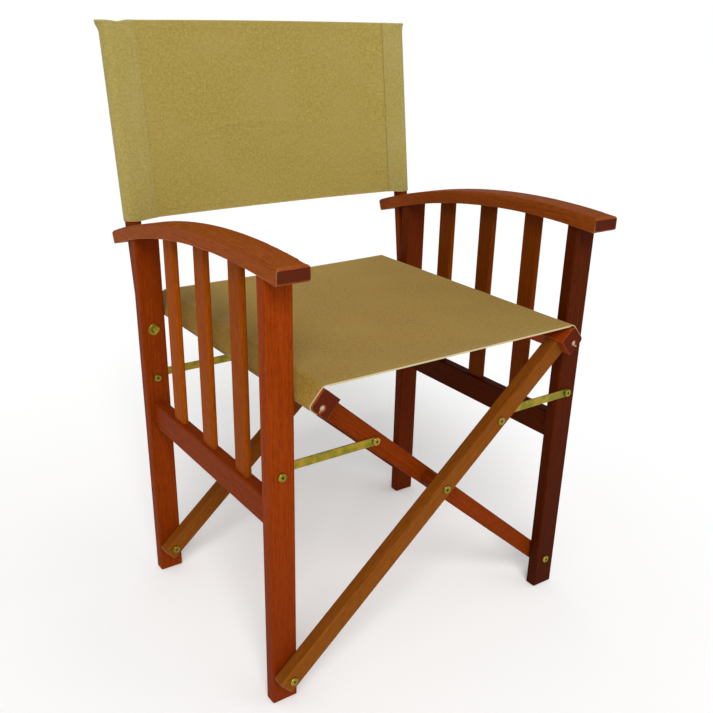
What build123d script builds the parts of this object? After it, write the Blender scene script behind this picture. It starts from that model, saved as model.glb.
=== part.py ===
from build123d import *
import os
from math import asin, atan2, cos, degrees, hypot, radians, sin, sqrt, tan

# Folding director's chair in hardwood with canvas slings.  Millimetres, +Z up.
# The sitter faces -Y; X runs from the sitter's right (-X, called left here) to +X.
# The origin is on the floor, in the middle of the whole chair's outline.

# ---- side frames -------------------------------------------------------------
leg_w = 40.0              # leg section along X
leg_t = 20.0              # leg section along Y
leg_span = 530.0          # between leg centre lines, left to right
leg_pitch = 404.0         # between leg centre lines, front to rear
leg_mid_y = -24.07        # the legs' middle lies this far ahead of the origin
foot_chamfer = 2.0        # on the feet of legs and members
arris = 2.5               # soft edge on legs and rails
lower_rail_z = 285.0      # underside of the lower side rail
lower_rail_h = 44.0
lower_rail_t = 20.0
slat_w = 36.0             # slat section along Y
slat_t = 10.0             # slat section along X
slat_round = 4.5
slat_pitch = 104.0
slat_count = 3

# ---- arms --------------------------------------------------------------------
arm_w = 46.0
arm_t = 21.0
arm_radius = 1336.0       # of the top face
arm_apex_y = -130.0       # from the legs' middle
arm_apex_z = 665.0
arm_front_over = 45.0     # beyond the front legs' centre line
arm_rear_over = 79.0      # beyond the rear legs' centre line
arm_round = 5.0

# ---- back posts --------------------------------------------------------------
post_d = 25.0
post_top_z = 906.0
recline = 7.5             # degrees
tongue_w = 21.0           # the thinner stretch that passes the arm, along X
tongue_t = 16.0
tongue_foot_z = 434.0
post_bolt_z = 455.0
head_sunk = 2.0           # post bolt's seat below the tongue's rear face
head_room = 1.0           # around the post bolt's head
seat_gap = 0.3            # between pieces that are seated on each other

# ---- crossed members and seat rails ------------------------------------------
foot_z = 52.0             # foot pivots above the floor
cross_z = 284.4           # crossing pivots above the floor
member_w = 27.0           # across the member, in the plane it swings in
member_t = 22.0           # along Y
member_end = 16.0         # beyond the foot pivot
rail_a = 32.0             # square seat rail
rail_gap = 3.0959         # between a rail's outer corner and the legs
rail_over = 47.0          # rail ends beyond the legs' centre lines
rail_round = 6.0
tenon_w = 12.0
tenon_t = 13.0
tenon_len = 10.0
hem_hole_r = 4.6
hem_off = 6.3             # hem hole from the rail's centre
hem_slot = 3.4
dowel_r = 3.0
dowel_over = 8.0          # dowel ends beyond the sling

# ---- stays and fasteners -----------------------------------------------------
stay_t = 2.0
stay_w = 13.0
stay_clear = 0.2          # each side of a stay in its gap
fold_angle = 75.0         # the members' angle when folded, in degrees
frame_tilt = 2.9          # how far each side frame leans out when folded
bolt_r = 3.0
run_clear = 0.06          # radial clearance of a pivot
shade = 0.1               # running clearance under a pivot's head or nut
head_r = 6.5
head_h = 3.2
head_round = 1.92
socket_r = 2.25           # hexagonal socket in a bolt's head
socket_deep = 1.92
nut_r = 5.5
nut_h = 4.0
tip_over = 1.0            # thread showing past a nut
washer_r = 8.0
spacer_r = 11.0
tnut_r = 9.5
tnut_h = 1.6

# ---- slings ------------------------------------------------------------------
cloth = 1.4
cloth_clear = 0.3
seat_over = 38.0          # sling's front and rear edges beyond the legs' centre lines
back_gap = 13.0           # bare post between the arm and the back sling
back_cap = 4.0            # cloth above the post's top

half_span = leg_span / 2
leg_y = {"front": leg_mid_y - leg_pitch / 2, "rear": leg_mid_y + leg_pitch / 2}
gap = stay_t + 2 * stay_clear
bore = bolt_r + run_clear
open_angle = degrees(atan2(cross_z - foot_z, half_span))
half_len = hypot(half_span, cross_z - foot_z)

# The stay closes the linkage both open (level, frames upright) and folded: the ratio of the
# two member lengths beyond and before the crossing is the root of a quadratic.
s0, c0 = sin(radians(open_angle)), cos(radians(open_angle))
s1, c1 = sin(radians(fold_angle)), cos(radians(fold_angle))
st, ct = sin(radians(frame_tilt)), cos(radians(frame_tilt))
qa = c0**2 - c1**2
qb = -2 * c1 * s0 * st
qc = -((s0 * st) ** 2 + (s1 - s0 * ct) ** 2)
ratio = (-qb + sqrt(qb**2 - 4 * qa * qc)) / (2 * qa)
stay_reach = half_len * (1 - ratio) / (1 + ratio)
stay_len = (half_len - stay_reach) * c0
stay_z = foot_z + (half_len + stay_reach) * s0
stay_x = half_span - stay_len

# A seat rail's rounded outer corner clears the legs: from the crossing to the rail's centre.
rail_corner_x = half_span - leg_w / 2 - rail_gap - rail_round
rail_reach = (rail_corner_x - (rail_a / 2 - rail_round) * (c0 + s0)) / c0

left, right = -1, 1
rows = ("front", "rear")
side_name = {left: "left", right: "right"}
os.makedirs("parts", exist_ok=True)


def save(part, name):
    """Label one finished piece and write it as a STEP file."""
    part.label = name
    export_step(part, f"parts/{name}.step")


def arm_z(y, radius):
    """Height at y of the arc of this radius about the arm's centre of curvature."""
    return arm_apex_z - arm_radius + sqrt(radius**2 - (y - leg_mid_y - arm_apex_y) ** 2)


def y_rod(x, z, radius, y_from, y_to):
    """A round bar along Y."""
    with BuildPart() as rod:
        with BuildSketch(Plane.XZ.offset(-y_from)):
            with Locations((x, z)):
                Circle(radius)
        extrude(amount=-(y_to - y_from))
    return rod.part


def arc_block(radius, far_z):
    """Everything between the arc of this radius and the level far_z."""
    y0 = leg_y["front"] - arm_front_over - 2 * arm_t
    y1 = leg_y["rear"] + arm_rear_over + 2 * arm_t
    mid = (y0 + y1) / 2
    with BuildPart() as block:
        with BuildSketch(Plane.YZ):
            with BuildLine():
                ThreePointArc((y0, arm_z(y0, radius)), (mid, arm_z(mid, radius)), (y1, arm_z(y1, radius)))
                Line((y1, arm_z(y1, radius)), (y1, far_z))
                Line((y1, far_z), (y0, far_z))
                Line((y0, far_z), (y0, arm_z(y0, radius)))
            make_face()
        extrude(amount=leg_span, both=True)
    return block.part


# The block above the arms' underside, and the block below their top, both span the chair.
over_arms = arc_block(arm_radius - arm_t, arm_apex_z + leg_span)
under_arm_tops = arc_block(arm_radius, 0)

# Where the post leaves the arm's top, from where its tongue bears on the rear leg.
slope = tan(radians(recline))
lean = Vector(0, sin(radians(recline)), cos(radians(recline)))
tongue_foot_y = leg_y["rear"] + leg_t / 2 + seat_gap + tongue_t / 2 / cos(radians(recline))


def post_point(z):
    """Point of a post's axis at height z, as (y, z)."""
    return tongue_foot_y + (z - tongue_foot_z) * slope, z


post_foot_y, _ = post_point(arm_apex_z)
post_seat_z = arm_z(post_foot_y, arm_radius)


def post_plane(side, z):
    """Plane square to a post's axis at height z."""
    y, _ = post_point(z)
    return Plane(origin=(side * half_span, y, z), x_dir=(1, 0, 0), z_dir=lean)


# ---- side frames: legs, rail, slats, arm and post for each side ----------------
for side in (left, right):
    name = side_name[side]
    for row in rows:
        with BuildPart() as leg:
            with BuildSketch(Plane.XY):
                with Locations((side * half_span, leg_y[row])):
                    RectangleRounded(leg_w, leg_t, arris)
            extrude(amount=arm_apex_z)
            chamfer(leg.faces().sort_by(Axis.Z)[0].edges(), foot_chamfer)
            add(over_arms, mode=Mode.SUBTRACT)
            for z in (foot_z, stay_z):
                add(y_rod(side * half_span, z, bore, leg_y[row] - leg_t, leg_y[row] + leg_t),
                    mode=Mode.SUBTRACT)
            if row == "rear":
                add(y_rod(side * half_span, post_bolt_z, bore, leg_y[row] - leg_t,
                          leg_y[row] + leg_t), mode=Mode.SUBTRACT)
        save(leg.part, f"{name}_{row}_leg")

    rail_len = leg_pitch - leg_t
    with BuildPart() as lower_rail:
        with BuildSketch(Plane.XZ.offset(-(leg_mid_y - rail_len / 2))):
            with Locations((side * half_span, lower_rail_z + lower_rail_h / 2)):
                RectangleRounded(lower_rail_t, lower_rail_h, arris)
        extrude(amount=-rail_len)
    save(lower_rail.part, f"{name}_lower_rail")

    for i in range(slat_count):
        y = leg_mid_y + (i - (slat_count - 1) / 2) * slat_pitch
        with BuildPart() as slat:
            with BuildSketch(Plane.XY.offset(lower_rail_z + lower_rail_h)):
                with Locations((side * half_span, y)):
                    RectangleRounded(slat_t, slat_w, slat_round)
            extrude(amount=arm_apex_z)
            add(over_arms, mode=Mode.SUBTRACT)
        save(slat.part, f"{name}_slat_{i + 1}")

    y0, y1 = leg_y["front"] - arm_front_over, leg_y["rear"] + arm_rear_over
    end_angle = asin((y1 - leg_mid_y - arm_apex_y) / arm_radius)
    y1_low = y1 - arm_t * sin(end_angle)
    mid = (y0 + y1) / 2
    low = arm_radius - arm_t
    with BuildPart() as arm:
        with BuildSketch(Plane.YZ.offset(side * half_span - arm_w / 2)):
            with BuildLine():
                ThreePointArc((y0, arm_z(y0, arm_radius)), (mid, arm_z(mid, arm_radius)),
                              (y1, arm_z(y1, arm_radius)))
                Line((y1, arm_z(y1, arm_radius)), (y1_low, arm_z(y1_low, low)))
                ThreePointArc((y1_low, arm_z(y1_low, low)), (mid, arm_z(mid, low)), (y0, arm_z(y0, low)))
                Line((y0, arm_z(y0, low)), (y0, arm_z(y0, arm_radius)))
            make_face()
        extrude(amount=arm_w)
        chamfer(arm.edges().filter_by(Axis.X), arris)
        fillet(arm.edges().filter_by(GeomType.CIRCLE).sort_by(Axis.Z)[-2:], arm_round)
        with BuildSketch(post_plane(side, post_seat_z)) as slot:
            Rectangle(tongue_w + 2 * seat_gap, tongue_t + 2 * seat_gap)
        extrude(amount=3 * arm_t, both=True, mode=Mode.SUBTRACT)
    save(arm.part, f"{name}_arm")

    with BuildPart() as post:
        with BuildSketch(post_plane(side, post_seat_z - arm_t)):
            Circle(post_d / 2)
        extrude(amount=(post_top_z - post_seat_z + arm_t) / cos(radians(recline)))
        chamfer(post.faces().sort_by(Axis.Z)[-1].edges(), arris)
        add(under_arm_tops, mode=Mode.SUBTRACT)
        with BuildSketch(post_plane(side, tongue_foot_z)):
            RectangleRounded(tongue_w, tongue_t, arris)
        extrude(amount=(post_seat_z + arm_t - tongue_foot_z) / cos(radians(recline)))
        shank_y = leg_y["rear"] + leg_t / 2
        add(y_rod(side * half_span, post_bolt_z, bore, shank_y, shank_y + 3 * tongue_t),
            mode=Mode.SUBTRACT)
        bolt_y, _ = post_point(post_bolt_z)
        head_seat_y = bolt_y + tongue_t / 2 - head_sunk
        add(y_rod(side * half_span, post_bolt_z, head_r + head_room, head_seat_y, head_seat_y + tongue_t),
            mode=Mode.SUBTRACT)
    save(post.part, f"{name}_back_post")


# ---- crossed members and seat rails --------------------------------------------
# Member a runs from the left feet to the right rail, member b from the right feet to the left
# rail.  dirn is +1 for a and -1 for b, and each has its own axes along and across it.
member_y = {
    "a": {row: y - leg_t / 2 - gap - member_t for row, y in leg_y.items()},
    "b": {row: y + leg_t / 2 + gap for row, y in leg_y.items()},
}
dirn = {"a": 1, "b": -1}


def along(letter, u, v=0.0):
    """(x, z) of the point u beyond the crossing along a member and v above its axis."""
    d = dirn[letter]
    return d * (u * c0 - v * s0), cross_z + u * s0 + v * c0


def member_plane(letter, y, u=0.0):
    """Plane facing -Y at y, x along the member, centred u beyond the crossing."""
    x, z = along(letter, u)
    d = dirn[letter]
    return Plane(origin=(x, y, z), x_dir=(d * c0, 0, s0), z_dir=(0, -1, 0))


for letter in ("a", "b"):
    d = dirn[letter]
    for row in rows:
        y = member_y[letter][row]
        bar_from, bar_to = -half_len - member_end, rail_reach - rail_a / 2
        with BuildPart() as member:
            with BuildSketch(member_plane(letter, y)):
                with Locations(((bar_from + bar_to) / 2, 0)):
                    Rectangle(bar_to - bar_from, member_w)
            extrude(amount=-member_t)
            bar_edges = member.edges().filter_by(lambda e: e.length > half_len)
            fillet(bar_edges, arris)
            foot_face = member.faces().sort_by(Axis(member_plane(letter, y).origin, (d * c0, 0, s0)))[0]
            chamfer(foot_face.edges(), foot_chamfer)
            tenon_y = y + member_t / 2
            with BuildSketch(member_plane(letter, tenon_y)):
                with Locations((bar_to + tenon_len / 2, 0)):
                    Rectangle(tenon_len, tenon_w)
            extrude(amount=tenon_t / 2, both=True)
            for u in (-half_len, 0.0, stay_reach):
                x, z = along(letter, u)
                add(y_rod(x, z, bore, y - member_t, y + 2 * member_t), mode=Mode.SUBTRACT)
        save(member.part, f"cross_member_{letter}_{row}")

    rail_side = side_name[d]
    with BuildPart() as rail:
        with BuildSketch(member_plane(letter, leg_y["front"] - rail_over, rail_reach)):
            RectangleRounded(rail_a, rail_a, rail_round)
            Rectangle(rail_a / 2, rail_a, align=(Align.MAX, Align.CENTER))
            with Locations((0, -d * hem_off)):
                Circle(hem_hole_r, mode=Mode.SUBTRACT)
            with Locations((0, -d * (hem_off + rail_a / 2))):
                Rectangle(hem_slot, rail_a, mode=Mode.SUBTRACT)
        extrude(amount=-(leg_pitch + 2 * rail_over))
        for row in rows:
            tenon_y = member_y[letter][row] + member_t / 2
            with BuildSketch(member_plane(letter, tenon_y, rail_reach)):
                with Locations((-rail_a / 2 + tenon_len / 2, 0)):
                    Rectangle(tenon_len + 2 * run_clear, tenon_w + 2 * run_clear)
            extrude(amount=tenon_t / 2 + run_clear, both=True, mode=Mode.SUBTRACT)
    save(rail.part, f"{rail_side}_seat_rail")

    x, z = along(letter, rail_reach, -hem_off)
    dowel_past = seat_over + dowel_over
    dowel = y_rod(x, z, dowel_r, leg_y["front"] - dowel_past, leg_y["rear"] + dowel_past)
    save(dowel, f"{rail_side}_hem_dowel")


# ---- fasteners -----------------------------------------------------------------
def bolt(x, z, y_under, y_tip, out=-1):
    """Round-headed bolt along Y: the head stands out of y_under, towards out."""
    plane = Plane(origin=(x, y_under, z), x_dir=(1, 0, 0), z_dir=(0, out, 0))
    with BuildPart() as made:
        with BuildSketch(plane):
            Circle(head_r)
        extrude(amount=head_h)
        fillet(made.faces().sort_by(Axis(plane.origin, plane.z_dir))[-1].edges(), head_round)
        with BuildSketch(plane.offset(head_h)):
            RegularPolygon(socket_r, 6)
        extrude(amount=-socket_deep, mode=Mode.SUBTRACT)
        with BuildSketch(plane):
            Circle(bolt_r)
        extrude(amount=-abs(y_tip - y_under))
    return made.part


def ring(x, z, outer, inner, y_from, y_to, sides=0):
    """Washer, spacer or, with sides, a nut along Y."""
    with BuildPart() as made:
        with BuildSketch(Plane.XZ.offset(-y_from)):
            with Locations((x, z)):
                if sides:
                    RegularPolygon(outer, sides, major_radius=False)
                else:
                    Circle(outer)
                Circle(inner, mode=Mode.SUBTRACT)
        extrude(amount=-(y_to - y_from))
    return made.part


def save_pair(pieces, name):
    """Write like pieces as one node of separate solids."""
    save(Compound(children=pieces), name)


for side in (left, right):
    name = side_name[side]
    x = side * half_span
    bolts, nuts, washers = [], [], []
    stay_bolts, stay_nuts = [], []
    for row in rows:
        y = leg_y[row]
        if side == left:
            face = member_y["a"][row]
            tip = y + leg_t / 2 + nut_h + tip_over
            bolts.append(bolt(x, foot_z, face - shade, tip))
            nuts.append(ring(x, foot_z, nut_r, bolt_r, y + leg_t / 2, y + leg_t / 2 + nut_h, 6))
            washers.append(ring(x, foot_z, washer_r, bore, y - leg_t / 2 - gap + shade, y - leg_t / 2))
            behind = y + leg_t / 2 + gap
            stay_bolts.append(bolt(x, stay_z, y - leg_t / 2, behind + nut_h + tip_over))
            stay_nuts.append(ring(x, stay_z, nut_r, bolt_r, behind, behind + nut_h, 6))
        else:
            behind = member_y["b"][row] + member_t + shade
            bolts.append(bolt(x, foot_z, y - leg_t / 2, behind + nut_h + tip_over))
            nuts.append(ring(x, foot_z, nut_r, bolt_r, behind, behind + nut_h, 6))
            washers.append(ring(x, foot_z, washer_r, bore, y + leg_t / 2, y + leg_t / 2 + gap - shade))
            stay_bolts.append(bolt(x, stay_z, y - leg_t / 2 - gap, y + leg_t / 2 + nut_h + tip_over))
            stay_nuts.append(ring(x, stay_z, nut_r, bolt_r, y + leg_t / 2, y + leg_t / 2 + nut_h, 6))
    save_pair(bolts, f"{name}_foot_bolts")
    save_pair(nuts, f"{name}_foot_nuts")
    save_pair(washers, f"{name}_foot_washers")
    save_pair(stay_bolts, f"{name}_stay_leg_bolts")
    save_pair(stay_nuts, f"{name}_stay_leg_nuts")

    y = leg_y["rear"]
    barrel = ring(x, post_bolt_z, tnut_r, bolt_r, y - leg_t / 2 - tnut_h, y - leg_t / 2)
    save(barrel, f"{name}_post_tnut")
    save(bolt(x, post_bolt_z, head_seat_y, y - leg_t / 2 - tnut_h, out=1), f"{name}_post_bolt")

crossing_bolts, crossing_nuts, spacers = [], [], []
for row in rows:
    face = member_y["a"][row]
    back = member_y["b"][row] + member_t
    crossing_bolts.append(bolt(0, cross_z, face, back + shade + nut_h + tip_over))
    crossing_nuts.append(ring(0, cross_z, nut_r, bolt_r, back + shade, back + shade + nut_h, 6))
    spacers.append(ring(0, cross_z, spacer_r, bore, face + member_t, member_y["b"][row] - shade))
save_pair(crossing_bolts, "crossing_bolts")
save_pair(crossing_nuts, "crossing_nuts")
save_pair(spacers, "crossing_spacers")

# ---- stays ---------------------------------------------------------------------
# The left stays lie behind the left legs and end on member b; the right stays lie ahead of
# the right legs and end on member a.  Their member ends are the linkage's open pivots: the
# bolt in the member stops flush with its face, and the stay carries its own half.
for side, letter in ((left, "b"), (right, "a")):
    name = side_name[side]
    for row in rows:
        y = leg_y[row]
        y_stay = y + leg_t / 2 + stay_clear if side == left else y - leg_t / 2 - stay_clear - stay_t
        with BuildPart() as stay:
            with BuildSketch(Plane.XZ.offset(-y_stay)):
                with Locations((side * (half_span - stay_len / 2), stay_z)):
                    SlotCenterToCenter(stay_len, stay_w)
                    with GridLocations(stay_len, 0, 2, 1):
                        Circle(bore, mode=Mode.SUBTRACT)
            extrude(amount=-stay_t)
        save(stay.part, f"{name}_{row}_stay")
    member_half, stay_half = [], []
    for row in rows:
        y = leg_y[row]
        face = member_y[letter][row]
        if side == left:
            y_stay = y + leg_t / 2 + stay_clear
            stay_half.append(bolt(side * stay_x, stay_z, y_stay, y_stay + stay_t))
            member_half.append(bolt(side * stay_x, stay_z, face + member_t, face, out=1))
        else:
            y_stay = y - leg_t / 2 - stay_clear
            stay_half.append(bolt(side * stay_x, stay_z, y_stay, y_stay - stay_t, out=1))
            member_half.append(bolt(side * stay_x, stay_z, face, face + member_t))
    save_pair(member_half, f"{name}_stay_member_bolts")
    save_pair(stay_half, f"{name}_stay_end_bolts")

# ---- slings --------------------------------------------------------------------
off = cloth_clear + cloth / 2
wrap = rail_a / 2 + off
seat_line = []
for letter, order in (("b", 1), ("a", -1)):
    corners = [
        along(letter, rail_reach, -hem_off - dowel_r - cloth_clear),
        along(letter, rail_reach, -wrap),
        along(letter, rail_reach + wrap, -wrap),
        along(letter, rail_reach + wrap, wrap),
    ]
    seat_line += corners[::order]
with BuildPart() as seat_sling:
    with BuildSketch(Plane.XZ.offset(seat_over - leg_y["front"])):
        with BuildLine() as seat_path:
            FilletPolyline(*seat_line, radius=[cloth] + [rail_round] * 4 + [cloth])
        trace(line_width=cloth)
    extrude(amount=-(leg_pitch + 2 * seat_over))
save(seat_sling.part, "seat_sling")

sleeve_r = post_d / 2 + cloth_clear + cloth
back_from = post_seat_z + back_gap
back_len = (post_top_z - back_from) / cos(radians(recline)) + cloth_clear
plane_y, _ = post_point(back_from)
back_plane = Plane(origin=(0, plane_y, back_from), x_dir=(1, 0, 0), z_dir=lean)
with BuildPart() as back_sling:
    with BuildSketch(back_plane):
        with Locations((0, -sleeve_r + cloth / 2)):
            Rectangle(leg_span, cloth)
        with GridLocations(leg_span, 0, 2, 1):
            Circle(sleeve_r)
            Circle(sleeve_r - cloth, mode=Mode.SUBTRACT)
    extrude(amount=back_len)
    with BuildSketch(back_plane.offset(back_len)):
        with Locations((0, -sleeve_r + cloth / 2)):
            Rectangle(leg_span, cloth)
        with GridLocations(leg_span, 0, 2, 1):
            Circle(sleeve_r)
    extrude(amount=back_cap)
save(back_sling.part, "back_sling")

# ---- what the record needs -----------------------------------------------------
gamma = degrees(atan2((half_len + stay_reach) * s1 - (stay_z - foot_z) * ct,
                      (half_len - stay_reach) * c1 + (stay_z - foot_z) * st))
turn = fold_angle - open_angle - frame_tilt
print("pivots", half_span, foot_z, cross_z, stay_z, stay_x, stay_len)
print("turn", turn, "crossing", -2 * (fold_angle - open_angle) / turn, "stay", (gamma - frame_tilt) / turn)
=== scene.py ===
from math import cos, pi, radians, sin, tan

import bpy
import numpy as np
from mathutils import Euler, Matrix, Vector


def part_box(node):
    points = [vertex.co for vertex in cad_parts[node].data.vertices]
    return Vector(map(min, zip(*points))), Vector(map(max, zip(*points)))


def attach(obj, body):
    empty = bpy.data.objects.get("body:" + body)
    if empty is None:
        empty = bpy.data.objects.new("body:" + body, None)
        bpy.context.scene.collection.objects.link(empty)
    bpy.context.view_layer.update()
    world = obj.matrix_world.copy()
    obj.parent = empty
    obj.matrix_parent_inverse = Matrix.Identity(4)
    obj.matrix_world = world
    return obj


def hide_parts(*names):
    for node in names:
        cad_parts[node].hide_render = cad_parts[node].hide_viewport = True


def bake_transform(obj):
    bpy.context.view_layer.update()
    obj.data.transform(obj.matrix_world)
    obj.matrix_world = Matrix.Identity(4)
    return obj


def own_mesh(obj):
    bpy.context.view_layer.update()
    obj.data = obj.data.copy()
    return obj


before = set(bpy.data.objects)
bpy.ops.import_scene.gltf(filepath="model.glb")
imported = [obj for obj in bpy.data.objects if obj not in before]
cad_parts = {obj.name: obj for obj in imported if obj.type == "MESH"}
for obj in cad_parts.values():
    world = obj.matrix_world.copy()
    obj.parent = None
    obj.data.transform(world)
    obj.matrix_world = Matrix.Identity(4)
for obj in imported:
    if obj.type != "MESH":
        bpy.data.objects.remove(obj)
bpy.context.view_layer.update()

# ---- Side frames: legs, rails, slats and posts ---------------------------------
# Sawn and planed hardwood, reddish brown, oiled by hand.  The grain runs along each
# stick, each comes from its own part of the plank, handling has rubbed the soft arrises
# paler and a painted highlight lightens them more, sawn ends drink more oil and turn
# dark, and the front legs grow darker towards their feet.


def put(tree, kind, sockets, **settings):
    """One shader node: its settings, then each socket given a value or a link."""
    node = tree.nodes.new(kind)
    for name, value in settings.items():
        setattr(node, name, value)
    for key, value in sockets.items():
        if isinstance(value, bpy.types.NodeSocket):
            tree.links.new(value, node.inputs[key])
        else:
            node.inputs[key].default_value = value
    return node


def maths(tree, operation, a, b=0.0):
    """The value of one sum of two values or sockets."""
    return put(tree, "ShaderNodeMath", {0: a, 1: b}, operation=operation).outputs[0]


def between(tree, value, low, high, to_low=0.0, to_high=1.0):
    """A value stretched from low..high to to_low..to_high, and held at both ends."""
    sockets = {"Value": value, "From Min": low, "From Max": high,
               "To Min": to_low, "To Max": to_high}
    return put(tree, "ShaderNodeMapRange", sockets).outputs["Result"]


def blend_colours(tree, share, a, b):
    """Colour a passing into colour b by share."""
    return put(tree, "ShaderNodeMix", {0: share, 6: a, 7: b}, data_type="RGBA").outputs[2]


def new_group(name, takes, gives):
    """An empty node group with its inputs and outputs named."""
    tree = bpy.data.node_groups.new(name, "ShaderNodeTree")
    for socket, kind in takes:
        tree.interface.new_socket(socket, in_out="INPUT", socket_type=kind)
    for socket, kind in gives:
        tree.interface.new_socket(socket, in_out="OUTPUT", socket_type=kind)
    return tree, tree.nodes.new("NodeGroupInput"), tree.nodes.new("NodeGroupOutput")


def new_material(name):
    """A material with nodes: the material, its tree and its shader."""
    material = bpy.data.materials.new(name)
    material.use_nodes = True
    return material, material.node_tree, material.node_tree.nodes["Principled BSDF"]


def make_timber_figure():
    """Growth rings round the pith, long streaks, open pores and sawn ends of a stick along Z.

    Rings are a wave of the distance from the pith, bent by noise that changes slowly along
    the stick.  Streaks and pores are noise drawn out along it, so both are dots on an end.
    """
    tree, takes, gives = new_group(
        "timber_figure",
        [("Place", "NodeSocketVector"), ("Facing", "NodeSocketVector")],
        [(name, "NodeSocketFloat") for name in ("Figure", "Pores", "Clouds", "End")],
    )

    def drawn_out(share):
        """The place with its height along the stick times share, which draws a pattern out."""
        sockets = {0: takes.outputs["Place"], 1: (1, 1, share)}
        return put(tree, "ShaderNodeVectorMath", sockets, operation="MULTIPLY").outputs[0]

    drawn = drawn_out(0.06)
    bend = put(tree, "ShaderNodeTexNoise", {"Vector": drawn, "Scale": 22.0, "Detail": 2.0})
    shift = put(tree, "ShaderNodeVectorMath", {0: bend.outputs["Color"], 3: 0.022}, operation="SCALE")
    bent = put(tree, "ShaderNodeVectorMath", {0: drawn, 1: shift.outputs[0]}, operation="ADD").outputs[0]
    waves = {"Vector": bent, "Scale": 62.0, "Distortion": 1.2, "Detail": 2.0}
    rings = put(tree, "ShaderNodeTexWave", waves,
                wave_type="RINGS", rings_direction="Z", wave_profile="SAW").outputs["Fac"]
    streaks = put(tree, "ShaderNodeTexNoise", {"Vector": drawn_out(0.025), "Scale": 330.0, "Detail": 4.0,
                                               "Roughness": 0.62}).outputs["Fac"]
    flecks = put(tree, "ShaderNodeTexNoise", {"Vector": drawn_out(0.16), "Scale": 420.0, "Detail": 3.0,
                                              "Roughness": 0.7}).outputs["Fac"]
    figure = maths(tree, "MULTIPLY", rings, 0.22)
    figure = maths(tree, "ADD", figure, maths(tree, "MULTIPLY", between(tree, streaks, 0.34, 0.68), 0.36))
    figure = maths(tree, "ADD", figure, maths(tree, "MULTIPLY", between(tree, flecks, 0.36, 0.64), 0.42))
    hollows = {"Vector": drawn_out(0.045), "Scale": 820.0, "Detail": 1.0}
    pores = put(tree, "ShaderNodeTexNoise", hollows).outputs["Fac"]
    clouds = put(tree, "ShaderNodeTexNoise", {"Vector": drawn, "Scale": 16.0, "Detail": 3.0}).outputs["Fac"]
    facing = put(tree, "ShaderNodeSeparateXYZ", {0: takes.outputs["Facing"]}).outputs["Z"]
    tree.links.new(figure, gives.inputs["Figure"])
    tree.links.new(between(tree, pores, 0.60, 0.70), gives.inputs["Pores"])
    tree.links.new(between(tree, clouds, 0.32, 0.68), gives.inputs["Clouds"])
    tree.links.new(between(tree, maths(tree, "ABSOLUTE", facing), 0.75, 0.95), gives.inputs["End"])
    return tree


def make_rubbed_and_highlit_edges():
    """How much an edge has been rubbed and painted with a highlight, and the normal of the edge a little
    rounded.

    The rounded normal leaves the true one near an edge; one less their product is the
    rub and painted highlight, broken up by noise so that it comes and goes along the edge.
    """
    tree, takes, gives = new_group(
        "rubbed_and_highlit_edges",
        [("Place", "NodeSocketVector"), ("Width", "NodeSocketFloat")],
        [("Rubbed And Highlit", "NodeSocketFloat"), ("Normal", "NodeSocketVector")],
    )
    rounded = put(tree, "ShaderNodeBevel", {"Radius": takes.outputs["Width"]}, samples=6).outputs["Normal"]
    true = put(tree, "ShaderNodeNewGeometry", {}).outputs["Normal"]
    same = put(tree, "ShaderNodeVectorMath", {0: rounded, 1: true}, operation="DOT_PRODUCT")
    edge = between(tree, maths(tree, "SUBTRACT", 1.0, same.outputs["Value"]), 0.01, 0.16)
    patches = {"Vector": takes.outputs["Place"], "Scale": 55.0, "Detail": 3.0}
    patch = put(tree, "ShaderNodeTexNoise", patches)
    broken = between(tree, patch.outputs["Fac"], 0.30, 0.62)
    tree.links.new(maths(tree, "MULTIPLY", edge, broken), gives.inputs["Rubbed And Highlit"])
    tree.links.new(rounded, gives.inputs["Normal"])
    return tree


timber_figure = make_timber_figure()
rubbed_and_highlit_edges = make_rubbed_and_highlit_edges()

along_y, along_z = (pi / 2, 0.0, 0.0), (0.0, 0.0, 0.0)
rubbed_and_highlit_width = 0.0022
# Each oil: the pale and dark wood, the sawn end, and the paler wood at the arrises, rubbed and carrying a
# painted highlight.
red_oil = ((0.400, 0.064, 0.003), (0.225, 0.026, 0.001), (0.072, 0.011, 0.005), (0.62, 0.210, 0.060))
slat_oil = ((0.400, 0.088, 0.003), (0.225, 0.038, 0.001), (0.072, 0.011, 0.005), (0.66, 0.270, 0.080))


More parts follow.
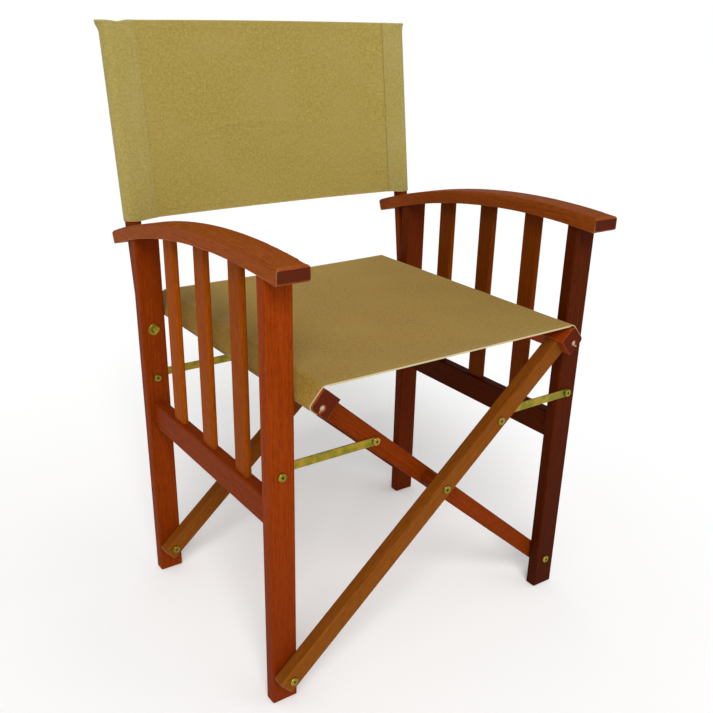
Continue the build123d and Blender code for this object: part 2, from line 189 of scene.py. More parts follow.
def timber(node, run, oil, shade, number, foot_darkening=0.0):
    """A stick's own timber: its grain turned to Z, its pith set near its middle.

    oil holds the stick's four colours, and shade darkens them all: the stick's own tone, and for the right
    frame's sticks and arm painted shade too.
    The last value is how much darker its foot is than the part 0.45 m above the floor.
    """
    low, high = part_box(node)
    turn = Euler(run).to_matrix()
    pith = Vector((0.034 * cos(2.4 * number), 0.046 * sin(2.4 * number), 0.37 * number))
    material, tree, shader = new_material(f"{node}_timber")
    pale, dark, end, rubbed_and_highlit = [(*[shade * c for c in colour], 1.0) for colour in oil]
    where = tree.nodes.new("ShaderNodeTexCoord")
    place = put(tree, "ShaderNodeMapping", {"Vector": where.outputs["Object"], "Rotation": run,
                                            "Location": pith - turn @ ((low + high) / 2)}).outputs[0]
    facing = put(tree, "ShaderNodeMapping", {"Vector": where.outputs["Normal"], "Rotation": run},
                 vector_type="VECTOR").outputs[0]
    figure = put(tree, "ShaderNodeGroup", {}, node_tree=timber_figure)
    tree.links.new(place, figure.inputs["Place"])
    tree.links.new(facing, figure.inputs["Facing"])
    edges = put(tree, "ShaderNodeGroup", {}, node_tree=rubbed_and_highlit_edges)
    tree.links.new(place, edges.inputs["Place"])
    edges.inputs["Width"].default_value = rubbed_and_highlit_width
    colour = blend_colours(tree, figure.outputs["Figure"], pale, dark)
    deeper = blend_colours(tree, 0.5, dark, end)
    colour = blend_colours(tree, maths(tree, "MULTIPLY", figure.outputs["Clouds"], 0.42), colour, dark)
    # The stick grows darker towards its foot, below 0.45 m.
    if foot_darkening:
        height = put(tree, "ShaderNodeSeparateXYZ", {0: where.outputs["Object"]}).outputs["Z"]
        colour = blend_colours(tree, between(tree, height, 0.05, 0.45, foot_darkening, 0.0), colour, deeper)
    colour = blend_colours(tree, maths(tree, "MULTIPLY", figure.outputs["Pores"], 0.55), colour, deeper)
    colour = blend_colours(tree, maths(tree, "MULTIPLY", figure.outputs["End"], 0.88), colour, end)
    # Arrises paled: partly rubbed wear, partly a painted highlight.
    colour = blend_colours(tree, maths(tree, "MULTIPLY", edges.outputs["Rubbed And Highlit"], 0.55), colour, rubbed_and_highlit)
    tree.links.new(colour, shader.inputs["Base Color"])
    dull = maths(tree, "MULTIPLY", figure.outputs["Figure"], 0.14)
    dull = maths(tree, "ADD", dull, maths(tree, "MULTIPLY", figure.outputs["End"], 0.16))
    tree.links.new(maths(tree, "ADD", dull, 0.42), shader.inputs["Roughness"])
    raised = maths(tree, "SUBTRACT", figure.outputs["Figure"], figure.outputs["Pores"])
    bump = put(tree, "ShaderNodeBump", {"Height": raised, "Strength": 0.35, "Distance": 0.0004,
                                        "Normal": edges.outputs["Normal"]})
    tree.links.new(bump.outputs["Normal"], shader.inputs["Normal"])
    shader.inputs["Specular IOR Level"].default_value = 0.02
    return material


def dress(node, material):
    """Put a material on a CAD node in place of its own."""
    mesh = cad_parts[node].data
    mesh.materials.clear()
    mesh.materials.append(material)


# How much each stick's oil is darkened, at the left and at the right: each stick's own tone, and on the
# right frame painted shade as well, which makes its sticks much darker.
stick_shades = {
    "front_leg": (0.88, 0.24), "rear_leg": (0.66, 0.36), "lower_rail": (0.66, 0.22),
    "slat_1": (0.86, 0.55), "slat_2": (0.92, 0.48), "slat_3": (1.00, 0.52), "back_post": (0.62, 0.60),
}
for number, (stick, shades) in enumerate(stick_shades.items()):
    run = along_y if stick == "lower_rail" else along_z
    for turn, side, shade in ((0, "left", shades[0]), (7, "right", shades[1])):
        node = f"{side}_{stick}"
        oil = slat_oil if stick.startswith("slat") else red_oil
        foot_darkening = 0.60 if stick == "front_leg" else 0.0
        dress(node, timber(node, run, oil, shade, number + turn, foot_darkening))

# ---- Arms ----------------------------------------------------------------------
# Two curved boards sawn from thicker stock, their top edges rounded over.  Their oil is
# more olive than the legs' on every face, a painted sheen; the sawn front and rear ends are maroon.

arm_oil_with_painted_sheen = ((0.360, 0.088, 0.012), (0.225, 0.040, 0.003), (0.070, 0.011, 0.006), (0.78, 0.40, 0.18))
# The right arm is darkened a little more than the left as painted shade.
for number, node in enumerate(("left_arm", "right_arm")):
    dress(node, timber(node, along_y, arm_oil_with_painted_sheen, 0.95 - 0.12 * number, 15 + number))

# ---- Crossed members -----------------------------------------------------------
# Four square bars that swing past each other between the frames.  The pair from the
# left feet comes from paler wood than the pair from the right feet.  Where the pairs
# cross, a turned wooden spacer keeps them apart.

member_lean = radians(90 - 41.25)
tan_oil = ((0.380, 0.118, 0.012), (0.230, 0.056, 0.004), (0.120, 0.030, 0.010), (0.86, 0.46, 0.20))
for letter, lean, oil, shade in (("a", -member_lean, tan_oil, 0.66), ("b", member_lean, red_oil, 0.58)):
    for number, row in enumerate(("front", "rear")):
        node = f"cross_member_{letter}_{row}"
        dress(node, timber(node, (0.0, lean, 0.0), oil, shade, 20 + 3 * number + len(letter)))

dress("crossing_spacers", timber("crossing_spacers", along_y, red_oil, 0.45, 33))

# ---- Seat rails and hem dowels -------------------------------------------------
# A square rail is tenoned onto each pair of members.  A keyhole slot runs its whole
# length, and a pale ramin dowel in the sling's hem loop keeps the cloth from pulling out.

for number, node in enumerate(("left_seat_rail", "right_seat_rail")):
    dress(node, timber(node, along_y, red_oil, 0.95, 26 + number))
pale_oil = ((0.70, 0.50, 0.34), (0.52, 0.33, 0.20), (0.55, 0.36, 0.25), (0.78, 0.62, 0.46))
for number, node in enumerate(("left_hem_dowel", "right_hem_dowel")):
    dress(node, timber(node, along_y, pale_oil, 0.92, 28 + number))

# ---- Stays, bolts, nuts and washers --------------------------------------------
# Pressed and turned steel, zinc plated and passivated yellow.  The film shifts between
# gold, olive and a little pink, and the plating is scuffed where parts rub.


def make_yellow_zinc():
    """Yellow passivated zinc: gold passing to olive and pink by slow noise, with fine scuffs.

    Edges are rubbed towards bare zinc, and recesses where little sky reaches are painted dark as shade.
    """
    material, tree, shader = new_material("yellow_zinc")
    place = tree.nodes.new("ShaderNodeTexCoord").outputs["Object"]
    film = put(tree, "ShaderNodeTexNoise", {"Vector": place, "Scale": 70.0, "Detail": 2.0}).outputs["Fac"]
    blush = put(tree, "ShaderNodeTexNoise", {"Vector": place, "Scale": 130.0, "Detail": 1.0}).outputs["Fac"]
    gold, olive, pink = (0.38, 0.26, 0.025, 1), (0.19, 0.19, 0.010, 1), (0.42, 0.20, 0.09, 1)
    bare, painted_recess_shade = (0.60, 0.53, 0.30, 1), (0.035, 0.028, 0.012, 1)
    colour = blend_colours(tree, between(tree, film, 0.38, 0.62), gold, olive)
    colour = blend_colours(tree, between(tree, blush, 0.55, 0.72, 0.0, 0.45), colour, pink)
    edges = put(tree, "ShaderNodeGroup", {"Place": place, "Width": 0.0006}, node_tree=rubbed_and_highlit_edges)
    colour = blend_colours(tree, maths(tree, "MULTIPLY", edges.outputs["Rubbed And Highlit"], 0.6), colour, bare)
    # Recesses that little sky reaches are painted dark: painted shade.
    open_sky = put(tree, "ShaderNodeAmbientOcclusion", {"Distance": 0.003}, samples=8, only_local=True)
    recess_shade_share = between(tree, open_sky.outputs["AO"], 0.35, 0.85, 0.9, 0.0)
    colour = blend_colours(tree, recess_shade_share, colour, painted_recess_shade)
    tree.links.new(colour, shader.inputs["Base Color"])
    scuff = put(tree, "ShaderNodeTexNoise", {"Vector": place, "Scale": 900.0, "Detail": 3.0}).outputs["Fac"]
    tree.links.new(between(tree, scuff, 0.3, 0.7, 0.26, 0.44), shader.inputs["Roughness"])
    bump = put(tree, "ShaderNodeBump", {"Height": scuff, "Strength": 0.12, "Distance": 0.0001,
                                        "Normal": edges.outputs["Normal"]})
    tree.links.new(bump.outputs["Normal"], shader.inputs["Normal"])
    shader.inputs["Metallic"].default_value = 0.9
    return material


yellow_zinc = make_yellow_zinc()


def new_piece(name, points, faces, sharp_from=None):
    """An object at the origin with these points and faces, smooth up to the angle sharp_from."""
    mesh = bpy.data.meshes.new(name)
    mesh.from_pydata(points.reshape(-1, 3).tolist(), [], faces)
    mesh.polygons.foreach_set("use_smooth", np.ones(len(mesh.polygons), bool))
    if sharp_from:
        mesh.set_sharp_from_angle(angle=sharp_from)
    piece = bpy.data.objects.new(name, mesh)
    bpy.context.scene.collection.objects.link(piece)
    return piece


def pressed_flange(name, x, y, z, profile, lobes, depth):
    """A pressed flange facing -Y: each profile point (r, out) swept round x, z.

    Its radius swells and shrinks by depth times the cosine of lobes times the angle,
    most at the rim and not at all at the bore.
    """
    radius, out = np.array(profile).T
    angle = np.linspace(0, 2 * pi, 72, endpoint=False)
    share = (radius / radius.max()) ** 3
    reach = radius[:, None] * (1 + depth * share[:, None] * np.cos(lobes * angle)[None, :])
    points = np.stack([x + reach * np.cos(angle), np.broadcast_to(y - out[:, None], reach.shape),
                       z + reach * np.sin(angle)], -1)
    index = np.arange(reach.size).reshape(reach.shape)
    ahead, inner = np.roll(index, -1, axis=1), np.roll(index, -1, axis=0)
    faces = np.stack([index, ahead, np.roll(ahead, -1, axis=0), inner], -1).reshape(-1, 4)
    return new_piece(name, points, faces.tolist(), radians(50))


# The nut that holds each post: a pressed flange with four lobes round a short barrel.
nut_profile = ((0.0091, 0.0), (0.0093, 0.0005), (0.0088, 0.0010), (0.0062, 0.0014), (0.0050, 0.0016),
               (0.0042, 0.0013), (0.0038, 0.0003), (0.00305, 0.0002), (0.00305, 0.0))
post_x = 0.265                      # the posts', legs' and feet's middle from the chair's
nut_y, nut_z = 0.16793, 0.455       # where the flange lies on the leg's front face
for side, name in ((-1, "left"), (1, "right")):
    flange = pressed_flange(f"{name}_post_nut_flange", side * post_x, nut_y, nut_z, nut_profile, 4, 0.05)
    flange.data.materials.append(yellow_zinc)
    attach(flange, f"{name}_frame")
    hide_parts(f"{name}_post_tnut")

plated = ("bolt", "nut", "washer", "stay")
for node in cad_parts:
    if any(word in node for word in plated):
        dress(node, yellow_zinc)

# ---- Seat sling ----------------------------------------------------------------
# One width of cotton canvas.  It lies flat from rail to rail, wraps round the outer side
# of each, goes through the slot underneath and is looped and sewn round the dowel.  Its
# front and rear edges are turned under and sewn in a hem.

rail_x, rail_z = 0.22179, 0.47893
rail_half = 0.016
rail_turn = radians(41.25)
rail_corner = 0.006
rail_mid_y = -0.02407
sling_front, sling_rear = rail_mid_y - 0.247, rail_mid_y + 0.240
canvas_thick = 0.0012
canvas_off = 0.0010           # middle of the cloth from the wood it lies on
dowel_drop = 0.0063           # dowel's middle below the rail's middle, across the rail
loop_radius = 0.0038
hem_width = 0.012
hem_stitched = 0.0095         # row of stitches from the hem's edge
slot_middle = 0.00075         # the cloth's middle from the slot's, as two layers fill it
seat_sag, hem_sag = 0.0050, 0.0010


def rounded_path(corners, radii, step):
    """A polyline whose inner corners are arcs of the given radii, sampled about every step.

    Each arc starts and ends radius times tan(half the turn) from its corner.
    """
    corners = np.asarray(corners, float)
    pieces = [corners[:1]]
    for before, corner, after, radius in zip(corners[:-2], corners[1:-1], corners[2:], radii):
        into = (corner - before) / np.linalg.norm(corner - before)
        out = (after - corner) / np.linalg.norm(after - corner)
        turn = np.arctan2(into[0] * out[1] - into[1] * out[0], into @ out)
        back = radius * abs(np.tan(turn / 2))
        side = np.sign(turn) * np.array([-into[1], into[0]])
        centre = corner - back * into + radius * side
        swing = np.linspace(0, turn, max(3, int(abs(turn) * radius / (step / 3)) + 2))[:, None]
        start = corner - back * into - centre
        across = np.array([-start[1], start[0]])
        pieces.append(centre + np.cos(swing) * start + np.sin(swing) * across)
    pieces.append(corners[-1:])
    path = np.vstack(pieces)
    lengths = np.linalg.norm(np.diff(path, axis=0), axis=1)
    counts = np.maximum(1, np.ceil(lengths / step)).astype(int)
    spans = [a + (b - a) * np.linspace(0, 1, n, endpoint=False)[:, None]
             for a, b, n in zip(path[:-1], path[1:], counts)]
    return np.vstack(spans + [path[-1:]])


def canvas_mesh(name, grid, cloth_u, cloth_v, thick, extra_back=0.0):
    """A closed sheet of cloth round a grid of middle points.

    The normal is the cross product of the grid's two slopes.  The face lies half the
    cloth's thickness along it, the back as far the other way plus extra_back, and a
    strip round the border joins them.  The cloth's own place, in metres, is its UV map.
    """
    rows, cols, _ = grid.shape
    slope_u, slope_v = np.gradient(grid, axis=0), np.gradient(grid, axis=1)
    normal = np.cross(slope_u, slope_v)
    normal /= np.linalg.norm(normal, axis=2, keepdims=True)
    face = grid + normal * (thick / 2)
    back = grid - normal * (thick / 2 + np.broadcast_to(extra_back, (rows, cols))[..., None])
    points = np.vstack([face.reshape(-1, 3), back.reshape(-1, 3)])
    index = np.arange(rows * cols).reshape(rows, cols)
    quads = np.stack([index[:-1, :-1], index[1:, :-1], index[1:, 1:], index[:-1, 1:]], -1).reshape(-1, 4)
    rim = np.concatenate([index[:-1, 0], index[-1, :-1], index[:0:-1, -1], index[0, :0:-1]])
    ahead = np.roll(rim, -1)
    under = rows * cols
    border = np.stack([rim, rim + under, ahead + under, ahead], -1)
    faces = np.vstack([quads, quads[:, ::-1] + under, border[:, ::-1]])
    piece = new_piece(name, points, faces.tolist(), radians(50))
    cloth = np.stack(np.broadcast_arrays(cloth_u, cloth_v), -1).reshape(-1, 2)
    cloth = np.vstack([cloth, cloth])
    uv = piece.data.uv_layers.new(name="cloth")
    uv.data.foreach_set("uv", cloth[faces.reshape(-1)].reshape(-1).astype(np.float32))
    return piece


def sewing(name, starts, ends, outward, radius):
    """A row of stitches: each a spindle from start to end, fattest in its middle.

    Ring k of a spindle sits at share t along it, has radius times the square root of
    sin(pi t), and bows outward by a little more than that, so its ends dip in the cloth.
    """
    share = np.array([0.04, 0.25, 0.5, 0.75, 0.96])
    angle = np.linspace(0, 2 * pi, 6, endpoint=False)
    run = ends - starts
    run /= np.linalg.norm(run, axis=1, keepdims=True)
    outward = outward - run * np.sum(outward * run, axis=1, keepdims=True)
    outward /= np.linalg.norm(outward, axis=1, keepdims=True)
    aside = np.cross(run, outward)
    fat = radius * np.sqrt(np.sin(pi * share))
    middle = starts[:, None] + share[None, :, None] * (ends - starts)[:, None]
    middle = middle + outward[:, None] * (0.9 * fat - 0.45 * radius)[None, :, None]
    ring = (np.cos(angle)[None, None, :, None] * outward[:, None, None]
            + np.sin(angle)[None, None, :, None] * aside[:, None, None])
    points = middle[:, :, None] + fat[None, :, None, None] * ring
    count, rings, sides = len(starts), len(share), len(angle)
    index = np.arange(count * rings * sides).reshape(count, rings, sides)
    nxt = np.roll(index, -1, axis=2)
    walls = np.stack([index[:, :-1], nxt[:, :-1], nxt[:, 1:], index[:, 1:]], -1).reshape(-1, 4)
    caps = [index[:, 0, ::-1].tolist(), index[:, -1].tolist()]
    return new_piece(name, points, walls.tolist() + caps[0] + caps[1])


def stitch_along(name, line, outward, pitch=0.0042, length=0.0031, radius=0.00042):
    """Stitches of one length at one pitch along a line of points, by distance along it."""
    travel = np.concatenate([[0], np.cumsum(np.linalg.norm(np.diff(line, axis=0), axis=1))])
    first = np.arange(pitch / 2, travel[-1] - pitch, pitch)

    def at(distance, values):
        return np.stack([np.interp(distance, travel, values[:, k]) for k in range(3)], -1)

    return sewing(name, at(first, line), at(first + length, line), at(first, outward), radius)


def make_canvas_weave():
    """Plain weave of warp and weft on the cloth's own place, and the colour of its threads.

    The product of two cosines, one period to two threads each way, rises where a thread
    passes over.  Each thread has its own tone, and slubs come and go along it.
    """
    tree, takes, gives = new_group(
        "canvas_weave",
        [("Cloth", "NodeSocketVector"), ("Pitch", "NodeSocketFloat")],
        [("Height", "NodeSocketFloat"), ("Tone", "NodeSocketFloat"), ("Mottle", "NodeSocketFloat")],
    )
    place = put(tree, "ShaderNodeSeparateXYZ", {0: takes.outputs["Cloth"]})
    thread, wave, tone = [], [], []
    for axis, other in (("X", "Y"), ("Y", "X")):
        number = maths(tree, "DIVIDE", place.outputs[axis], takes.outputs["Pitch"])
        thread.append(number)
        wave.append(maths(tree, "COSINE", maths(tree, "MULTIPLY", number, pi)))
        whole = maths(tree, "FLOOR", number)
        slow = maths(tree, "MULTIPLY", place.outputs[other], 95.0)
        slub = put(tree, "ShaderNodeCombineXYZ", {0: maths(tree, "MULTIPLY", whole, 3.7), 1: slow})
        noise = put(tree, "ShaderNodeTexNoise", {"Vector": slub.outputs[0], "Scale": 1.0, "Detail": 1.0})
        tone.append(noise.outputs["Fac"])
    over = maths(tree, "MULTIPLY", wave[0], wave[1])
    side = between(tree, over, -0.25, 0.25)
    mixed = put(tree, "ShaderNodeMix", {0: side, 2: tone[0], 3: tone[1]}).outputs[0]
    rows = [maths(tree, "ABSOLUTE", maths(tree, "SINE", maths(tree, "MULTIPLY", t, pi))) for t in thread]
    height = maths(tree, "ADD", maths(tree, "MULTIPLY", rows[0], rows[1]), maths(tree, "ABSOLUTE", over))
    mottle = put(tree, "ShaderNodeTexNoise", {"Vector": takes.outputs["Cloth"], "Scale": 260.0,
                                              "Detail": 3.0, "Roughness": 0.6}).outputs["Fac"]
    tree.links.new(height, gives.inputs["Height"])
    tree.links.new(between(tree, mixed, 0.3, 0.7), gives.inputs["Tone"])
    tree.links.new(between(tree, mottle, 0.36, 0.64), gives.inputs["Mottle"])
    return tree


canvas_weave = make_canvas_weave()
thread_pitch = 0.0010
hem_wear = (0.62, 0.52, 0.29, 1)


def make_canvas(name, pale, dark, faded, tall, worn):
    """Khaki canvas: threads between two colours, fading in slow patches and along two edges.

    The worn share falls away in a straight line over 2.5 mm from the nearer edge, at 0 or
    at tall up the cloth.
    """
    material, tree, shader = new_material(name)
    cloth = put(tree, "ShaderNodeUVMap", {}, uv_map="cloth").outputs["UV"]
    weave = put(tree, "ShaderNodeGroup", {"Cloth": cloth, "Pitch": thread_pitch}, node_tree=canvas_weave)
    tone = maths(tree, "MULTIPLY", weave.outputs["Tone"], 0.45)
    tone = maths(tree, "ADD", tone, maths(tree, "MULTIPLY", weave.outputs["Mottle"], 0.55))
    colour = blend_colours(tree, tone, (*dark, 1), (*pale, 1))
    patch = put(tree, "ShaderNodeTexNoise", {"Vector": cloth, "Scale": 9.0, "Detail": 3.0}).outputs["Fac"]
    colour = blend_colours(tree, between(tree, patch, 0.42, 0.72, 0.0, 0.5), colour, (*faded, 1))
    up = put(tree, "ShaderNodeSeparateXYZ", {0: cloth}).outputs["Y"]
    from_hem = maths(tree, "MINIMUM", up, maths(tree, "SUBTRACT", tall, up))
    colour = blend_colours(tree, between(tree, from_hem, 0.0003, 0.0025, worn, 0.0), colour, hem_wear)
    tree.links.new(colour, shader.inputs["Base Color"])
    tree.links.new(between(tree, weave.outputs["Mottle"], 0, 1, 0.86, 0.96), shader.inputs["Roughness"])
    bump = put(tree, "ShaderNodeBump", {"Height": weave.outputs["Height"], "Strength": 0.45,
                                        "Distance": 0.0003})
    tree.links.new(bump.outputs["Normal"], shader.inputs["Normal"])
    shader.inputs["Specular IOR Level"].default_value = 0.25
    shader.inputs["Sheen Weight"].default_value = 0.12
    shader.inputs["Sheen Roughness"].default_value = 0.5
    return material


seat_canvas = make_canvas("seat_canvas", (0.405, 0.248, 0.028), (0.220, 0.120, 0.006),
                          (0.355, 0.224, 0.028), sling_rear - sling_front, 0.8)


def make_thread():
    """Polished sewing thread a little paler than the canvas, ply marks across it."""
    material, tree, shader = new_material("sewing_thread")
    place = tree.nodes.new("ShaderNodeTexCoord").outputs["Object"]
    ply = put(tree, "ShaderNodeTexNoise", {"Vector": place, "Scale": 2200.0, "Detail": 1.0}).outputs["Fac"]
    colour = blend_colours(tree, ply, (0.33, 0.26, 0.085, 1), (0.47, 0.38, 0.16, 1))
    tree.links.new(colour, shader.inputs["Base Color"])
    tree.links.new(between(tree, ply, 0.3, 0.7, 0.55, 0.75), shader.inputs["Roughness"])
    return material


thread = make_thread()


def seat_middle():
    """The seat sling's middle line in x and z, from one dowel loop to the other.

    In the rail's own axes it rings the dowel, drops through the slot, turns outwards
    under the rail, up its outer side and over its top corner; the other end mirrors it.
    """
    wrap = rail_half + canvas_off
    start = np.arcsin(slot_middle / loop_radius)
    swing = np.linspace(-pi / 2 - start, -2.5 * pi + start, 28)
    loop = np.stack([loop_radius * np.cos(swing), loop_radius * np.sin(swing) - dowel_drop], -1)
    tail = np.array([[-slot_middle, -0.0135]])
    down = loop[-1]
    corners = [down, [slot_middle, -wrap], [wrap, -wrap], [wrap, wrap], [wrap - 0.02, wrap + 0.0175]]
    turns = rounded_path(corners, [0.0014, rail_corner + canvas_off, rail_corner + canvas_off], 0.0025)
    own = np.vstack([tail, loop, turns[1:-8]])
    u, v = own[:, 0], own[:, 1]
    x = rail_x + u * cos(rail_turn) - v * sin(rail_turn)
    z = rail_z + u * sin(rail_turn) + v * cos(rail_turn)
    reached = np.argmax(z)
    x, z = x[:reached + 1], z[:reached + 1]
    left = np.stack([-x, z], -1)
    across = np.linspace(-x[-1], x[-1], 150)[1:-1]
    flat = np.stack([across, np.full(len(across), z[-1])], -1)
    right = np.stack([x, z], -1)[::-1]
    return np.vstack([left, flat, right])


def seat_surface(line, y):
    """The seat's middle surface: the line carried from front to rear, sagging between the rails.

    The sag is a parabola across, deepest on the middle rows and less where the hem
    holds; slack makes long shallow waves that die out towards the rails.
    """
    x, z = line[:, 0][:, None], line[:, 1][:, None]
    across = np.clip(1 - (x / (rail_x - 0.004)) ** 2, 0, 1)
    edge = np.minimum(y - sling_front, sling_rear - y)[None, :]
    held = np.exp(-edge / 0.05)
    sag = seat_sag * (1 - held) + hem_sag * held
    wave = 0.0005 * np.sin(52 * y[None, :] + 9 * x) + 0.0004 * np.sin(31 * y[None, :] - 23 * x + 1.3)
    top = np.where(z > rail_z + 0.02, 1.0, 0.0)
    drop = top * (across * sag + np.sqrt(across) * np.clip(across, 0, 0.4) * wave * (1 - held))
    waist = 0.0012 * np.exp(-edge / 0.02) * across * top
    lean = np.sign(y - (sling_front + sling_rear) / 2)[None, :]
    grid = np.empty((len(line), len(y), 3))
    grid[..., 0] = x
    grid[..., 1] = y[None, :] - lean * waist
    grid[..., 2] = z - drop
    return grid


seat_line = seat_middle()
hem_rows = np.array([0, 0.0015, 0.004, 0.008, hem_width - 0.0006, hem_width + 0.0006])
seat_y = np.concatenate([sling_front + hem_rows, np.linspace(sling_front + 0.017, sling_rear - 0.017, 90),
                         sling_rear - hem_rows[::-1]])
seat_grid = seat_surface(seat_line, seat_y)
seat_travel = np.concatenate([[0], np.cumsum(np.linalg.norm(np.diff(seat_line, axis=0), axis=1))])
from_edge = np.minimum(seat_y - sling_front, sling_rear - seat_y)
on_top = (seat_line[:, 1] > rail_z + 0.0225) & (np.abs(seat_line[:, 0]) < rail_x - 0.006)
hem_fold = np.where(from_edge < hem_width, 0.0010, 0.0)[None, :] * on_top[:, None]
seat = canvas_mesh("seat_canvas_sling", seat_grid, seat_travel[:, None],
                   (seat_y - sling_front)[None, :], canvas_thick, hem_fold)
seat.data.materials.append(seat_canvas)
seat_pieces = []
for name, row in (("seat_front_hem_stitches", 3), ("seat_rear_hem_stitches", len(seat_y) - 4)):
    keep = seat_line[:, 1] > rail_z + 0.006
    line = seat_grid[keep, row] + np.array([0, 0, canvas_thick / 2])
    slope = np.gradient(line, axis=0)
    outward = np.cross(slope, np.array([0.0, 1.0, 0.0]))
    outward *= np.where(outward[:, 2:] < 0, -1, 1)
    stitches = stitch_along(name, line, outward)
    stitches.data.materials.append(thread)
    seat_pieces.append(stitches)
for piece in [seat] + seat_pieces:
    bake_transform(piece)
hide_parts("seat_sling")

# ---- Back sling ----------------------------------------------------------------
# A panel of the same canvas between two sleeves.  Each sleeve is a strip folded round a
# post and sewn down on the panel 37 mm in; its top is sewn shut over the post's end, and
# the flattened top stands out as a small ear.

recline = radians(7.5)
post_y, post_z = 0.19630, 0.434     # a point of the posts' axes
back_from = 0.6226                  # height where the sling starts
back_tall = 0.2890                  # along the posts
post_end = 0.2859                   # where the posts end, along them from the sling's foot
sleeve_mid = 0.0135                 # middle of the cloth from the post's axis
flap = 0.037                        # sleeve's seam from the post's axis
panel_under = 0.0013                # panel's middle behind the sleeve's front layer
panel_tuck = (0.0045, 0.032)        # panel's right end inside its sleeve, at foot and top
sewn_from = flap - 0.013            # where the rear flap starts to lie flat on the panel
seam_behind = -sleeve_mid + 2 * panel_under + 0.0004


def on_back(across, behind, up):
    """Points of the back: across the chair, behind the posts' axes, and up along them."""
    foot_y = post_y + (back_from - post_z) * tan(recline)
    return np.stack(np.broadcast_arrays(
        across,
        foot_y + up * sin(recline) + behind * cos(recline),
        back_from + up * cos(recline) - behind * sin(recline),
    ), -1)


def sleeve_surface(side, ear, up):
    """A sleeve's middle surface: front flap, half round the post, and back flap to the seam.

    The rear flap leaves the post along the line that touches it and meets the panel, and
    lies flat on the panel as far as the seam.  Near the top the section is squeezed front
    to back as a dome over the post's end, and widens outwards into the ear.
    """
    lift_off = (np.arcsin(sleeve_mid / np.hypot(sewn_from, seam_behind))
                + np.arctan2(-seam_behind, sewn_from))
    shut = np.clip((up - post_end + 0.001) / (up.max() - post_end + 0.001), 0, 1)
    deep = sleeve_mid * np.sqrt(np.clip(1 - shut**2, 0.006, 1))
    wide = sleeve_mid + ear * np.clip((up - up.max() + 0.016) / 0.016, 0, 1) ** 1.6
    centre = -0.0045 * shut
    swing = np.linspace(-pi / 2, -3 * pi / 2 - lift_off, 44)
    tube = sleeve_mid * np.stack([np.cos(swing), np.sin(swing)], -1)
    front = np.stack([np.linspace(flap, 0, 22, endpoint=False), np.full(22, -sleeve_mid)], -1)
    rear = rounded_path([tube[-1], [sewn_from, seam_behind], [flap, seam_behind]], [0.006], 0.0018)[1:]
    x, n = np.vstack([front, tube, rear]).T[:, :, None]
    near = np.clip(1 - x / flap, 0, 1)
    near = near**2 * (3 - 2 * near)
    across = np.where(x < 0, x * wide / sleeve_mid, x + 0 * wide)
    behind = n * (1 - near) + (centre + n * deep / sleeve_mid) * near
    foot = 0.0030 * np.exp(-((across - 0.004) / 0.022) ** 2) * np.clip(1 - up[None, :] / 0.05, 0, 1)
    dip = 0.0022 * np.exp(-((across - 0.012) / 0.009) ** 2) * np.clip((up[None, :] - 0.25) / 0.04, 0, 1)
    grid = on_back(side * (post_x - across), behind, up[None, :] - foot - dip)
    travel = np.concatenate([[0], np.cumsum(np.hypot(np.diff(across[:, 0]), np.diff(behind[:, 0])))])
    return grid, travel


back_canvas = make_canvas("back_canvas", (0.430, 0.335, 0.082), (0.275, 0.192, 0.030),
                          (0.380, 0.292, 0.080), back_tall, 0.2)
sleeve_canvas = make_canvas("sleeve_canvas", (0.425, 0.342, 0.098), (0.275, 0.205, 0.042),
                            (0.390, 0.315, 0.105), back_tall, 0.2)
back_up = np.concatenate([np.linspace(0, 0.262, 60, endpoint=False), np.linspace(0.262, back_tall, 26)])
for side, name, body, ear in ((-1, "left", "left_frame", 0.0075), (1, "right", "right_frame", 0.0030)):
    grid, travel = sleeve_surface(side, ear, back_up)
    if side > 0:
        grid, travel = grid[::-1], travel[-1] - travel[::-1]
    sleeve = canvas_mesh(f"{name}_sleeve", grid, travel[:, None], back_up[None, :], canvas_thick)
    sleeve.data.materials.append(sleeve_canvas)
    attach(sleeve, body)


def panel_surface(across, up):
    """The panel's middle surface: nearly flat, eased rearwards, with one soft crease.

    The ease is a parabola each way.  The crease is a thin ridge that bows across the
    panel at mid height and fades out at both its ends.
    """
    h = up[None, :]
    inner = post_x - flap
    tuck = np.interp(up, [0, back_tall], panel_tuck)[None, :]
    x = across[:, None] + np.clip((across[:, None] - inner + 0.04) / 0.04, 0, 1) * tuck
    ease = 0.0035 * np.clip(1 - (x / inner) ** 2, 0, 1) * np.sin(pi * np.clip(h / back_tall, 0, 1)) ** 0.7
    bow = 0.136 - 0.8 * (x + 0.03) ** 2
    fade = np.exp(-((x + 0.05) / 0.13) ** 4)
    crease = 0.0008 * fade * np.exp(-((h - bow) / 0.005) ** 2)
    slack = 0.0006 * np.sin(19 * x + 24 * h) * np.clip(1 - (x / inner) ** 2, 0, 1)
    behind = -sleeve_mid + panel_under + ease - crease + slack
    crown = 0.0012 * np.cos(pi * x / 0.46)
    lift = crown * (np.clip((h - 0.2) / 0.09, 0, 1) + 1.5 * np.clip(1 - h / 0.06, 0, 1))
    return on_back(x, behind, h + lift)


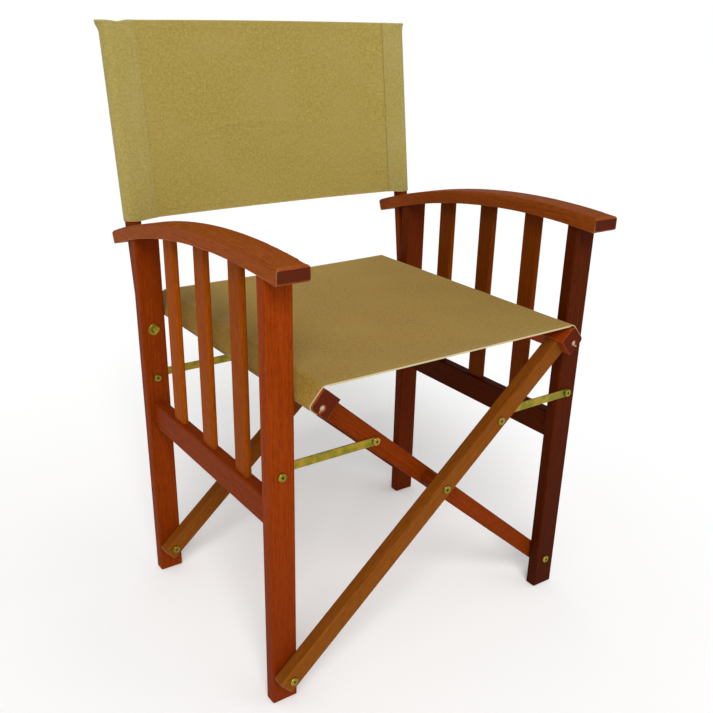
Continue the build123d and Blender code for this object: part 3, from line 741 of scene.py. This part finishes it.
panel_x = np.linspace(-post_x + flap - 0.012, post_x - flap, 120)
hem_rows = np.array([0, 0.0015, 0.005, hem_width - 0.0006, hem_width + 0.0006])
panel_up = np.concatenate([hem_rows, np.linspace(0.017, back_tall - 0.017, 72),
                           back_tall - hem_rows[::-1]])
panel_grid = panel_surface(panel_x, panel_up)
panel_edge = np.minimum(panel_up, back_tall - panel_up)
clear = np.abs(panel_x) < post_x - flap - 0.042
turned = np.where(panel_edge < hem_width, 0.0009, 0.0)[None, :] * clear[:, None]
panel = canvas_mesh("back_panel", panel_grid, (panel_x - panel_x[0])[:, None], panel_up[None, :],
                    canvas_thick, turned)
panel.data.materials.append(back_canvas)
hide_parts("back_sling")
forward = on_back(0.0, -1.0, 0.0) - on_back(0.0, 0.0, 0.0)
panel_pieces = [panel]
for name, height in (("back_top_hem_stitches", back_tall - hem_stitched),
                     ("back_foot_hem_stitches", hem_stitched)):
    row = int(np.argmin(np.abs(panel_up - height)))
    keep = np.abs(panel_x) < post_x - flap - 0.002
    line = panel_grid[keep, row] + forward * (canvas_thick / 2)
    stitches = stitch_along(name, line, np.broadcast_to(forward, line.shape))
    stitches.data.materials.append(thread)
    panel_pieces.append(stitches)
for piece in panel_pieces:
    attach(piece, "left_frame")
    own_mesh(piece)

# The two seams: a double row of stitches through sleeve and panel, front and back.
for side, name, body in ((-1, "left", "left_frame"), (1, "right", "right_frame")):
    rise = np.linspace(0.004, back_tall - 0.003, 60)
    for row, inset in enumerate((0.0025, 0.0085)):
        for face, behind in (("front", -sleeve_mid - canvas_thick / 2),
                             ("rear", seam_behind + canvas_thick / 2)):
            line = on_back(side * (post_x - flap + inset), behind, rise)
            outward = np.broadcast_to(forward if face == "front" else -forward, line.shape)
            stitches = stitch_along(f"{name}_{face}_seam_{row + 1}", line, outward)
            stitches.data.materials.append(thread)
            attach(stitches, body)

# ---- Floor, light and camera ---------------------------------------------------
# A pale studio floor that runs out of sight, a broad soft key from the sitter's right
# and a weaker fill, and the camera a little above the arms.

floor_reach = 60.0
rim = np.linspace(0, 2 * pi, 96, endpoint=False)
rim_points = floor_reach * np.stack([np.cos(rim), np.sin(rim), np.zeros_like(rim)], -1)
floor = new_piece("studio_floor", rim_points, [list(range(len(rim)))])
floor_paint, _, shader = new_material("floor_paint")
shader.inputs["Base Color"].default_value = (0.97, 0.97, 0.97, 1)
shader.inputs["Roughness"].default_value = 0.9
shader.inputs["Emission Color"].default_value = (1, 1, 1, 1)
shader.inputs["Emission Strength"].default_value = 0.10
floor.data.materials.append(floor_paint)

world = bpy.data.worlds.new("studio")
bpy.context.scene.world = world
world.use_nodes = True
room = world.node_tree
wall = room.nodes["Background"]
wall.inputs["Color"].default_value = (1.0, 1.0, 1.0, 1)
wall.inputs["Strength"].default_value = 1.0
glow = put(room, "ShaderNodeBackground", {"Color": (1.0, 1.0, 1.0, 1), "Strength": 0.50})
seen = put(room, "ShaderNodeLightPath", {}).outputs["Is Camera Ray"]
both = put(room, "ShaderNodeMixShader", {0: seen, 1: glow.outputs[0], 2: wall.outputs[0]})
room.links.new(both.outputs[0], room.nodes["World Output"].inputs["Surface"])

for name, away, wide, strength in (("key", (-0.44, -0.76, 0.80), 28, 1.85),
                                   ("fill", (0.75, -0.55, 0.55), 60, 0.35)):
    light = bpy.data.lights.new(name, "SUN")
    light.angle, light.energy = radians(wide), strength
    lamp = bpy.data.objects.new(name, light)
    lamp.rotation_euler = Vector(away).to_track_quat("Z", "Y").to_euler()
    bpy.context.scene.collection.objects.link(lamp)

turned_by, raised_by, tilted_by = radians(-34.84), radians(23.938), radians(1.074)
to_eye = Vector((sin(turned_by) * cos(raised_by), -cos(turned_by) * cos(raised_by), sin(raised_by)))
to_right = Vector((cos(turned_by), sin(turned_by), 0))
to_top = to_eye.cross(to_right)
right = cos(tilted_by) * to_right + sin(tilted_by) * to_top
top = -sin(tilted_by) * to_right + cos(tilted_by) * to_top
lens = bpy.data.cameras.new("camera")
lens.sensor_width, lens.lens = 36.0, 44.41
lens.shift_x, lens.shift_y = 0.00755, 0.0670
camera = bpy.data.objects.new("camera", lens)
eye = Vector((-0.7679, -1.1132, 0.9244))
camera.matrix_world = Matrix.LocRotScale(eye, Matrix((right, top, to_eye)).transposed(), None)
bpy.context.scene.collection.objects.link(camera)
bpy.context.scene.camera = camera
bpy.context.scene.view_settings.view_transform = "Standard"

bpy.context.view_layer.update()
